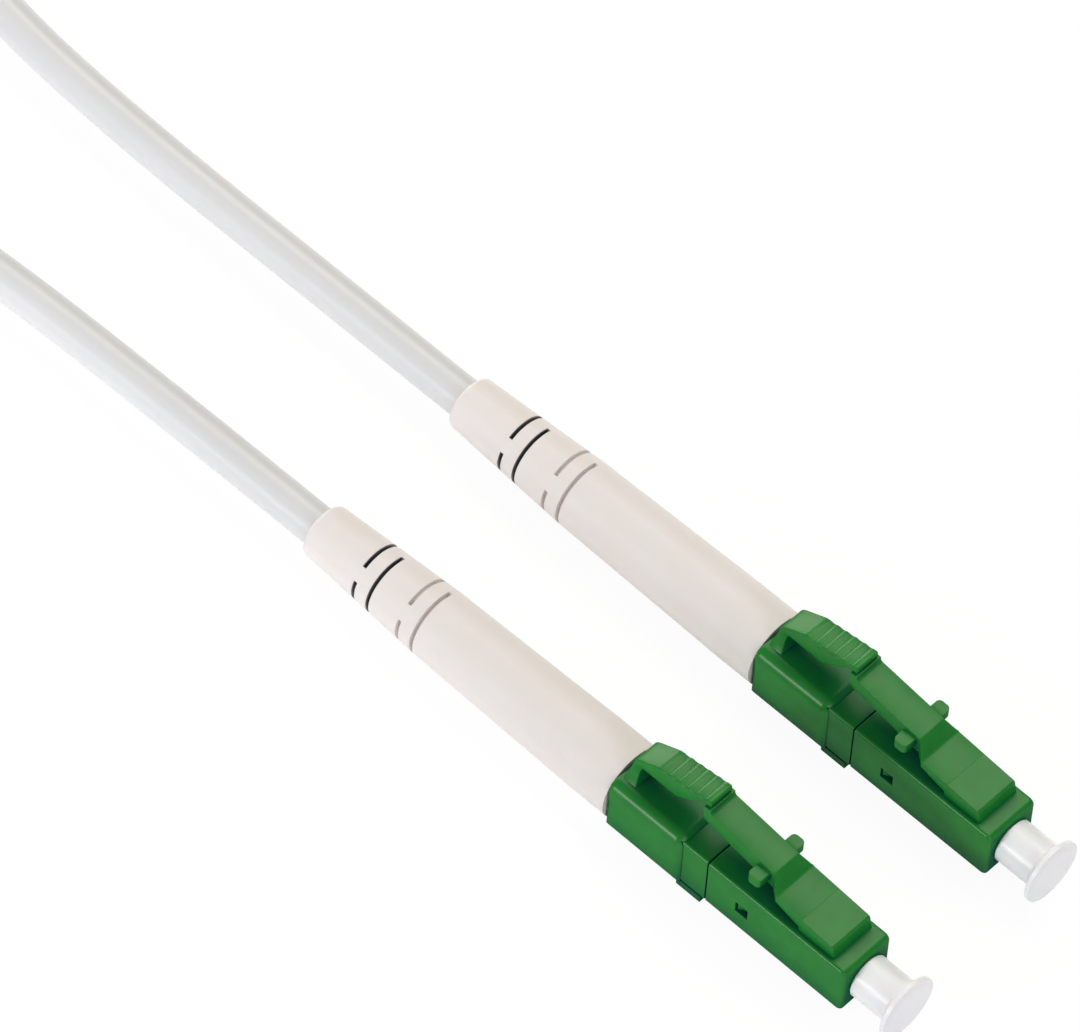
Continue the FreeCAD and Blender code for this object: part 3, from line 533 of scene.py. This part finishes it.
# The ferrule is ground zirconia, bright white with rings left by the wheel. Its
# flange and the crimp sleeve are turned metal, marked by the same lathe rings.
turned, given, made = new_group(
    "turned surface",
    [
        ("Vector", "NodeSocketVector", None),
        ("Light Color", "NodeSocketColor", (0.8, 0.8, 0.8, 1.0)),
        ("Dark Color", "NodeSocketColor", (0.7, 0.7, 0.7, 1.0)),
        ("Ring Scale", "NodeSocketFloat", 20000.0),
        ("Roughness", "NodeSocketFloat", 0.25),
        ("Wear", "NodeSocketFloat", 0.1),
    ],
    [("Color", "NodeSocketColor"), ("Roughness", "NodeSocketFloat"), ("Height", "NodeSocketFloat")],
)
along_axis = turned.nodes.new("ShaderNodeMapping")
along_axis.inputs["Scale"].default_value = (1.0, 0.02, 0.02)
turned.links.new(given.outputs["Vector"], along_axis.inputs["Vector"])
rings = noise(turned, along_axis.outputs["Vector"], given.outputs["Ring Scale"], 2.0)
clouds = noise(turned, given.outputs["Vector"], 900.0, 3.0)
shade = turned.nodes.new("ShaderNodeMix")
shade.data_type = "RGBA"
cloudy = between(turned, clouds, 0.35, 0.65, 0.0, 1.0)
turned.links.new(cloudy, shade.inputs["Factor"])
turned.links.new(given.outputs["Light Color"], shade.inputs["A"])
turned.links.new(given.outputs["Dark Color"], shade.inputs["B"])
turned.links.new(shade.outputs["Result"], made.inputs["Color"])
touched = between(turned, clouds, 0.5, 0.7, 0.0, 1.0)
handled = combined(turned, "MULTIPLY", touched, given.outputs["Wear"])
rough = combined(turned, "ADD", given.outputs["Roughness"], handled)
turned.links.new(rough, made.inputs["Roughness"])
turned.links.new(rings, made.inputs["Height"])

zirconia = surface(
    "zirconia",
    turned,
    {
        "Light Color": (0.86, 0.86, 0.84, 1.0),
        "Dark Color": (0.83, 0.83, 0.82, 1.0),
        "Ring Scale": 30000.0,
        "Roughness": 0.12,
        "Wear": 0.06,
    },
    depth=0.0006 * MM,
    soft_edge=0.04 * MM,
    Subsurface_Weight=0.1,
    Subsurface_Scale=0.0003,
)
steel = surface(
    "turned steel",
    turned,
    {
        "Light Color": (0.62, 0.61, 0.60, 1.0),
        "Dark Color": (0.54, 0.53, 0.53, 1.0),
        "Ring Scale": 14000.0,
        "Roughness": 0.28,
        "Wear": 0.15,
    },
    depth=0.002 * MM,
    soft_edge=0.04 * MM,
    Metallic=1.0,
)
for end in ("a", "b"):
    dress(zirconia, f"ferrule_{end}")
    dress(steel, f"ferrule_flange_{end}", f"crimp_sleeve_{end}")

# The ferrule spring is a coil of drawn wire between the flange and the body's
# shoulder. In use it shortens as the ferrule is pushed back; here it has one length.
SPRING_WIRE = 0.24 * MM
SPRING_TURNS = 7.0


def new_shape_group(name, inputs):
    """An empty geometry node group with its values as named inputs and one geometry output."""
    group = bpy.data.node_groups.new(name, "GeometryNodeTree")
    for label, kind, value in inputs:
        socket = group.interface.new_socket(name=label, in_out="INPUT", socket_type=kind)
        if value is not None:
            socket.default_value = value
    group.interface.new_socket(name="Geometry", in_out="OUTPUT", socket_type="NodeSocketGeometry")
    return group, group.nodes.new("NodeGroupInput"), group.nodes.new("NodeGroupOutput")


def grown(name, group, values, start=None):
    """The plain mesh that a geometry node group makes from the given values and first mesh."""
    first = start or bpy.data.meshes.new(name + "_start")
    holder = bpy.data.objects.new(name + "_start", first)
    bpy.context.scene.collection.objects.link(holder)
    modifier = holder.modifiers.new("shape", "NODES")
    modifier.node_group = group
    for item in group.interface.items_tree:
        if item.in_out == "INPUT" and item.name in values:
            modifier[item.identifier] = values[item.name]
    bpy.context.view_layer.update()
    seen_now = holder.evaluated_get(bpy.context.evaluated_depsgraph_get())
    mesh = bpy.data.meshes.new_from_object(seen_now)
    mesh.name = name
    bpy.data.objects.remove(holder)
    piece = bpy.data.objects.new(name, mesh)
    bpy.context.scene.collection.objects.link(piece)
    return piece


def add_node(tree, kind, **inputs):
    """A node with some inputs set to numbers or linked from sockets."""
    node = tree.nodes.new(kind)
    for label, value in inputs.items():
        socket = node.inputs[label.replace("_", " ")]
        if isinstance(value, bpy.types.NodeSocket):
            tree.links.new(value, socket)
        else:
            socket.default_value = value
    return node


coil, given, made = new_shape_group(
    "wire coil",
    [
        ("Turns", "NodeSocketFloat", 7.0),
        ("Radius", "NodeSocketFloat", 0.001),
        ("Length", "NodeSocketFloat", 0.006),
        ("Wire Radius", "NodeSocketFloat", 0.0001),
        ("Place", "NodeSocketVector", (0.0, 0.0, 0.0)),
        ("Material", "NodeSocketMaterial", None),
    ],
)
helix = add_node(
    coil,
    "GeometryNodeCurveSpiral",
    Resolution=40,
    Rotations=given.outputs["Turns"],
    Start_Radius=given.outputs["Radius"],
    End_Radius=given.outputs["Radius"],
    Height=given.outputs["Length"],
)
section = add_node(
    coil,
    "GeometryNodeCurvePrimitiveCircle",
    Resolution=14,
    Radius=given.outputs["Wire Radius"],
)
wire = add_node(
    coil,
    "GeometryNodeCurveToMesh",
    Curve=helix.outputs["Curve"],
    Profile_Curve=section.outputs["Curve"],
    Fill_Caps=True,
)
laid = add_node(
    coil,
    "GeometryNodeTransform",
    Geometry=wire.outputs["Mesh"],
    Translation=given.outputs["Place"],
    Rotation=(0.0, math.pi / 2, 0.0),
)
smooth = add_node(coil, "GeometryNodeSetShadeSmooth", Geometry=laid.outputs["Geometry"])
coated = add_node(
    coil,
    "GeometryNodeSetMaterial",
    Geometry=smooth.outputs["Geometry"],
    Material=given.outputs["Material"],
)
coil.links.new(coated.outputs["Geometry"], made.inputs["Geometry"])

spring_steel = surface(
    "spring wire",
    turned,
    {
        "Light Color": (0.58, 0.57, 0.55, 1.0),
        "Dark Color": (0.48, 0.47, 0.46, 1.0),
        "Ring Scale": 9000.0,
        "Roughness": 0.24,
        "Wear": 0.2,
    },
    depth=0.002 * MM,
    Metallic=1.0,
)
for end in ("a", "b"):
    low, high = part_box(f"ferrule_spring_{end}")
    middle = (low + high) / 2
    spring = grown(
        f"spring_{end}",
        coil,
        {
            "Turns": SPRING_TURNS,
            "Radius": (high.z - low.z - SPRING_WIRE) / 2,
            "Length": high.x - low.x - SPRING_WIRE,
            "Wire Radius": SPRING_WIRE / 2,
            "Place": (low.x + SPRING_WIRE / 2, middle.y, middle.z),
            "Material": spring_steel,
        },
    )
    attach(spring, "cable")
    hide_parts(f"ferrule_spring_{end}")
    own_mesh(spring)

# Inside the rear body runs the buffered fibre, glass in a soft white coat.
buffer_white = surface(
    "fibre coating",
    moulded,
    {
        "Light Color": (0.84, 0.83, 0.79, 1.0),
        "Dark Color": (0.80, 0.79, 0.74, 1.0),
        "Flow Scale": 1500.0,
        "Grain Scale": 9000.0,
        "Roughness": 0.4,
        "Wear": 0.05,
    },
    depth=0.002 * MM,
)
dress(buffer_white, "buffered_fibre_a", "buffered_fibre_b")

# The strength yarn is yellow aramid, spread thinly round the crimp post and
# held there by the sleeve: many fine strands side by side, a little unruly.
YARN_STRANDS = 64
YARN_STRAND = 0.066 * MM
YARN_GAP = 0.02 * MM

strands, given, made = new_shape_group(
    "spread yarn",
    [
        ("Strands", "NodeSocketInt", 64),
        ("Ring Radius", "NodeSocketFloat", 0.0015),
        ("Strand Radius", "NodeSocketFloat", 0.00007),
        ("Length", "NodeSocketFloat", 0.005),
        ("Wander", "NodeSocketFloat", 0.2),
        ("Seed", "NodeSocketFloat", 3.0),
        ("Place", "NodeSocketVector", (0.0, 0.0, 0.0)),
        ("Material", "NodeSocketMaterial", None),
    ],
)
ring = add_node(
    strands,
    "GeometryNodeMeshCircle",
    Vertices=given.outputs["Strands"],
    Radius=given.outputs["Ring Radius"],
)
upright = add_node(
    strands,
    "GeometryNodeTransform",
    Geometry=ring.outputs["Mesh"],
    Rotation=(0.0, math.pi / 2, 0.0),
)
reach = add_node(strands, "ShaderNodeCombineXYZ", X=given.outputs["Length"])
straight = add_node(
    strands,
    "GeometryNodeCurvePrimitiveLine",
    Start=(0.0, 0.0, 0.0),
    End=reach.outputs["Vector"],
)
finer = add_node(strands, "GeometryNodeResampleCurve", Curve=straight.outputs["Curve"], Count=18)
copies = add_node(
    strands,
    "GeometryNodeInstanceOnPoints",
    Points=upright.outputs["Geometry"],
    Instance=finer.outputs["Curve"],
)
real = add_node(strands, "GeometryNodeRealizeInstances", Geometry=copies.outputs["Instances"])
spot = add_node(strands, "GeometryNodeInputPosition")
wave = add_node(
    strands,
    "ShaderNodeTexNoise",
    Vector=spot.outputs["Position"],
    Scale=900.0,
    Detail=1.0,
)
wave.noise_dimensions = "4D"
strands.links.new(given.outputs["Seed"], wave.inputs["W"])
centred = combined(strands, "SUBTRACT", wave.outputs["Fac"], 0.5)
swing = combined(strands, "MULTIPLY", centred, given.outputs["Wander"])
swung = add_node(strands, "ShaderNodeVectorRotate", Vector=spot.outputs["Position"], Angle=swing)
swung.rotation_type = "X_AXIS"
moved = add_node(
    strands,
    "GeometryNodeSetPosition",
    Geometry=real.outputs["Geometry"],
    Position=swung.outputs["Vector"],
)
section = add_node(
    strands,
    "GeometryNodeCurvePrimitiveCircle",
    Resolution=6,
    Radius=given.outputs["Strand Radius"],
)
yarn_mesh = add_node(
    strands,
    "GeometryNodeCurveToMesh",
    Curve=moved.outputs["Geometry"],
    Profile_Curve=section.outputs["Curve"],
    Fill_Caps=True,
)
smooth = add_node(strands, "GeometryNodeSetShadeSmooth", Geometry=yarn_mesh.outputs["Mesh"])
laid = add_node(
    strands,
    "GeometryNodeTransform",
    Geometry=smooth.outputs["Geometry"],
    Translation=given.outputs["Place"],
)
coated = add_node(
    strands,
    "GeometryNodeSetMaterial",
    Geometry=laid.outputs["Geometry"],
    Material=given.outputs["Material"],
)
strands.links.new(coated.outputs["Geometry"], made.inputs["Geometry"])

aramid = surface(
    "aramid yarn",
    moulded,
    {
        "Light Color": (0.78, 0.58, 0.14, 1.0),
        "Dark Color": (0.66, 0.46, 0.09, 1.0),
        "Flow Scale": 2400.0,
        "Grain Scale": 9000.0,
        "Roughness": 0.45,
        "Wear": 0.1,
    },
    depth=0.003 * MM,
)
for end in ("a", "b"):
    low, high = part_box(f"strength_yarn_{end}")
    middle = (low + high) / 2
    yarn = grown(
        f"yarn_{end}",
        strands,
        {
            "Strands": YARN_STRANDS,
            "Ring Radius": (high.z - low.z) / 2 - 1.1 * YARN_STRAND,
            "Strand Radius": YARN_STRAND,
            "Length": high.x - low.x - 2 * YARN_GAP,
            "Wander": 0.16,
            "Seed": 3.0 if end == "a" else 8.0,
            "Place": (low.x + YARN_GAP, middle.y, middle.z),
            "Material": aramid,
        },
    )
    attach(yarn, "cable")
    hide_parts(f"strength_yarn_{end}")

# The cord is one round white jacket, extruded, from crimp to crimp. It leaves
# each boot level, lies down to the table, and its spare length is wound up.
CORD_WIDE = 3.0 * MM
START_A = (-3.935, -7.38, 2.87)
START_B = (-4.425, 7.38, 2.87)
LOW = 1.8
HIGH = 4.8
HANK_FRONT = -100.0
HANK_REAR = -124.0
RUN_INSET = 1.5
ARC_STEPS = 6
ARC_STEP = 30
ROUTE_A = [
    START_A,
    (-34.5, -7.38, 2.87),
    (-64.0, -7.68, 2.25),
    (-79.0, -10.78, LOW),
    (-93.0, -15.8, LOW),
]
ROUTE_B = [
    START_B,
    (-35.0, 7.38, 2.87),
    (-60.0, 7.48, 2.45),
    (-76.0, 8.28, 3.0),
    (-86.5, 11.38, HIGH),
    (-94.0, 15.4, HIGH),
    (-105.0, 16.4, HIGH),
]
# Each half turn of the hank starts in a lane, ends in the lane across, and may climb.
HALF_TURNS = [
    (-16.5, 16.5, 0.0),
    (16.5, -13.5, 0.0),
    (-13.5, 13.5, 0.0),
    (13.5, -10.5, 0.0),
    (-10.5, 10.5, 0.0),
    (10.5, -10.5, HIGH - LOW),
    (-10.5, 10.5, 0.0),
    (10.5, -13.5, 0.0),
    (-13.5, 13.5, 0.0),
    (13.5, -16.5, 0.0),
    (-16.5, 16.5, 0.0),
]


def half_turn(lane, across, height, climb, at_rear):
    """Control points of one straight run's ends and of the half circle that follows it.

    The circle's points are the corners of a many-sided figure drawn round it.
    """
    radius = abs(across - lane) / 2
    middle = (across + lane) / 2
    side = 1 if lane < 0 else -1
    margin = 0.268 * radius
    far = HANK_REAR if at_rear else HANK_FRONT
    near = HANK_FRONT - RUN_INSET if at_rear else HANK_REAR + RUN_INSET
    outward = -1 if at_rear else 1
    bend = [(near, lane, height), (far - outward * margin, lane, height)]
    corner = radius / math.cos(math.radians(ARC_STEP / 2))
    for step in range(ARC_STEPS):
        angle = math.radians(ARC_STEP / 2 + ARC_STEP * step)
        x = far + outward * corner * math.sin(angle)
        y = middle - side * corner * math.cos(angle)
        bend.append((x, y, height + climb * step / (ARC_STEPS - 1)))
    return bend


route = list(ROUTE_A)
level = LOW
for count, (lane, across, climb) in enumerate(HALF_TURNS):
    route += half_turn(lane, across, level, climb, at_rear=count % 2 == 0)
    level += climb
route.append((HANK_REAR + 4.0, 16.5, HIGH))
route += reversed(ROUTE_B)

line = bpy.data.curves.new("cord", "CURVE")
line.dimensions = "3D"
line.bevel_depth = CORD_WIDE / 2
line.bevel_resolution = 8
line.use_fill_caps = True
spline = line.splines.new("NURBS")
spline.points.add(len(route) - 1)
for point, place in zip(spline.points, route):
    point.co = (*(Vector(place) * MM), 1.0)
spline.order_u = 3
spline.use_endpoint_u = True
spline.resolution_u = 12
cord = bpy.data.objects.new("cord", line)
bpy.context.scene.collection.objects.link(cord)
jacket = surface(
    "cord jacket",
    moulded,
    {
        "Light Color": (0.71, 0.715, 0.735, 1.0),
        "Dark Color": (0.685, 0.69, 0.715, 1.0),
        "Flow Scale": 120.0,
        "Grain Scale": 2600.0,
        "Roughness": 0.34,
        "Wear": 0.1,
    },
    depth=0.006 * MM,
    Subsurface_Weight=0.1,
    Subsurface_Scale=0.0005,
)
line.materials.append(jacket)
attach(cord, "cable")
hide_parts("cord_a", "cord_b", "cord_hank")

# Two hook-and-loop ties hold the hank. Each is a thin woven strap with a pile of
# tiny loops, drawn round the bundle. From LIFT_FROM of its way round it climbs
# over its own start, and its end is pressed down there.
STRAP_THICK = 0.13 * MM
STRAP_OVERLAP = 7.0 * MM
STRAP_STEP = 0.2 * MM
STRAP_LIFT = 1.15
LIFT_FROM = 0.94
LIFT_RUN = 0.05
LOOP_RADIUS = 0.05 * MM
THREAD_RADIUS = 0.01 * MM
STRAP_PROUD = (1 + STRAP_LIFT) * STRAP_THICK + LOOP_RADIUS + THREAD_RADIUS
BUNDLE_ROUND = 1.5 * MM

pile, given, made = new_shape_group(
    "loop pile",
    [
        ("Strap", "NodeSocketGeometry", None),
        ("Density", "NodeSocketFloat", 12000000.0),
        ("Loop Radius", "NodeSocketFloat", 0.00006),
        ("Thread Radius", "NodeSocketFloat", 0.000012),
        ("Seed", "NodeSocketInt", 1),
        ("Material", "NodeSocketMaterial", None),
    ],
)
spread = add_node(
    pile,
    "GeometryNodeDistributePointsOnFaces",
    Mesh=given.outputs["Strap"],
    Density=given.outputs["Density"],
    Seed=given.outputs["Seed"],
)
loop = add_node(
    pile,
    "GeometryNodeCurvePrimitiveCircle",
    Resolution=7,
    Radius=given.outputs["Loop Radius"],
)
standing = add_node(
    pile,
    "GeometryNodeTransform",
    Geometry=loop.outputs["Curve"],
    Rotation=(math.pi / 2, 0.0, 0.0),
)
thread = add_node(
    pile,
    "GeometryNodeCurvePrimitiveCircle",
    Resolution=3,
    Radius=given.outputs["Thread Radius"],
)
loop_mesh = add_node(
    pile,
    "GeometryNodeCurveToMesh",
    Curve=standing.outputs["Geometry"],
    Profile_Curve=thread.outputs["Curve"],
)
spin = add_node(pile, "FunctionNodeRandomValue")
spin.data_type = "FLOAT_VECTOR"
spin.inputs[0].default_value = (-0.5, -0.5, 0.0)
spin.inputs[1].default_value = (0.5, 0.5, 6.28)
turned_loops = add_node(
    pile,
    "GeometryNodeInstanceOnPoints",
    Points=spread.outputs["Points"],
    Instance=loop_mesh.outputs["Mesh"],
    Rotation=spread.outputs["Rotation"],
)
mixed = add_node(
    pile,
    "GeometryNodeRotateInstances",
    Instances=turned_loops.outputs["Instances"],
    Rotation=spin.outputs[0],
)
together = pile.nodes.new("GeometryNodeJoinGeometry")
pile.links.new(given.outputs["Strap"], together.inputs["Geometry"])
pile.links.new(mixed.outputs["Instances"], together.inputs["Geometry"])
real = add_node(pile, "GeometryNodeRealizeInstances", Geometry=together.outputs["Geometry"])
coated = add_node(
    pile,
    "GeometryNodeSetMaterial",
    Geometry=real.outputs["Geometry"],
    Material=given.outputs["Material"],
)
pile.links.new(coated.outputs["Geometry"], made.inputs["Geometry"])


def strap_line(half_wide, half_high, total):
    """Points and outward directions round the bundle from its top, for the given length."""
    points = []
    corner_long = BUNDLE_ROUND * math.pi / 2
    half_top = half_wide - BUNDLE_ROUND
    side_high = 2 * (half_high - BUNDLE_ROUND)
    sides = [half_top, side_high, 2 * half_top, side_high, half_top]
    around = sum(sides) + 4 * corner_long
    count = int(total / STRAP_STEP)
    for step in range(count + 1):
        reached = (total * step / count) % around
        place = Vector((0.0, half_high))
        heading = 0.0
        for number, side in enumerate(sides):
            way = Vector((math.cos(heading), -math.sin(heading)))
            out = Vector((math.sin(heading), math.cos(heading)))
            if reached <= side or number == 4:
                place += way * reached
                break
            reached -= side
            place += way * side
            if reached <= corner_long:
                angle = reached / BUNDLE_ROUND
                centre = place - out * BUNDLE_ROUND
                out = Vector((math.sin(heading + angle), math.cos(heading + angle)))
                place = centre + out * BUNDLE_ROUND
                break
            reached -= corner_long
            turned_out = Vector((math.sin(heading + math.pi / 2), math.cos(heading + math.pi / 2)))
            place += BUNDLE_ROUND * (turned_out - out)
            heading += math.pi / 2
        points.append((place, out, total * step / count / around))
    return points


tie_white = surface(
    "tie fabric",
    moulded,
    {
        "Light Color": (0.78, 0.78, 0.77, 1.0),
        "Dark Color": (0.66, 0.66, 0.66, 1.0),
        "Flow Scale": 1800.0,
        "Grain Scale": 5200.0,
        "Roughness": 0.85,
        "Wear": 0.05,
    },
    depth=0.05 * MM,
)
for end in ("a", "b"):
    low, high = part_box(f"hank_tie_{end}")
    middle = (low + high) / 2
    half_wide = (high.y - low.y) / 2 - STRAP_PROUD
    half_high = (high.z - low.z) / 2 - STRAP_PROUD
    around = 4 * (half_wide + half_high) - (8 - 2 * math.pi) * BUNDLE_ROUND
    rows = strap_line(half_wide, half_high, around + STRAP_OVERLAP)
    strap = bmesh.new()
    skins = []
    for place, out, share in rows:
        lift = STRAP_THICK * STRAP_LIFT * min(1.0, max(0.0, (share - LIFT_FROM) / LIFT_RUN))
        top = lift + STRAP_THICK
        row = []
        for offset, x in ((lift, low.x), (lift, high.x), (top, high.x), (top, low.x)):
            spot = place + out * offset
            row.append(strap.verts.new((x, middle.y + spot.x, middle.z + spot.y)))
        skins.append(row)
    for row, following in zip(skins, skins[1:]):
        for corner in range(4):
            after = (corner + 1) % 4
            strap.faces.new((row[corner], following[corner], following[after], row[after]))
    strap.faces.new(skins[0])
    strap.faces.new(reversed(skins[-1]))
    bmesh.ops.recalc_face_normals(strap, faces=strap.faces)
    strap_mesh = bpy.data.meshes.new(f"strap_{end}")
    strap.to_mesh(strap_mesh)
    strap.free()
    tie = grown(
        f"tie_{end}",
        pile,
        {
            "Density": 9000000.0,
            "Loop Radius": LOOP_RADIUS,
            "Thread Radius": THREAD_RADIUS,
            "Seed": 1 if end == "a" else 2,
            "Material": tie_white,
        },
        start=strap_mesh,
    )
    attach(tie, "cable")
    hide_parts(f"hank_tie_{end}")

bpy.context.scene.view_settings.view_transform = "Standard"
low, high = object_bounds()
